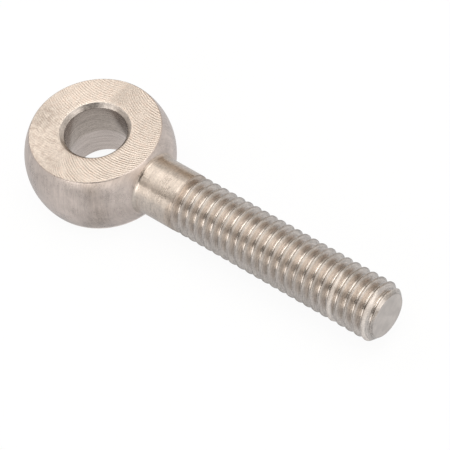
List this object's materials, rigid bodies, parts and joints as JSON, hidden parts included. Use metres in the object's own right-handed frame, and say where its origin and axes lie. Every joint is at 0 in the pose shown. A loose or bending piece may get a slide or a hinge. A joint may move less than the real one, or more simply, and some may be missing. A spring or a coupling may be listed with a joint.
{
  "type": "ball-eye swing bolt",
  "caption": "One-piece steel swing bolt: a ball eye with two milled flats and a chamfered cross bore, on a threaded shank.",
  "frame": {"origin": "centre of the eye, where the bore's axis crosses the shank's axis", "axes": "+Z along the eye's bore, square to the two flats; +X along the shank from the eye to the threaded tip"},
  "size_m": [0.0428, 0.015, 0.0072],
  "materials": {
    "turned_steel": "bare stainless steel, turned on the ball and shank and face-milled on the eye's flats"
  },
  "bodies": {
    "root": {"eye_bolt": "turned_steel"}
  },
  "joints": []
}
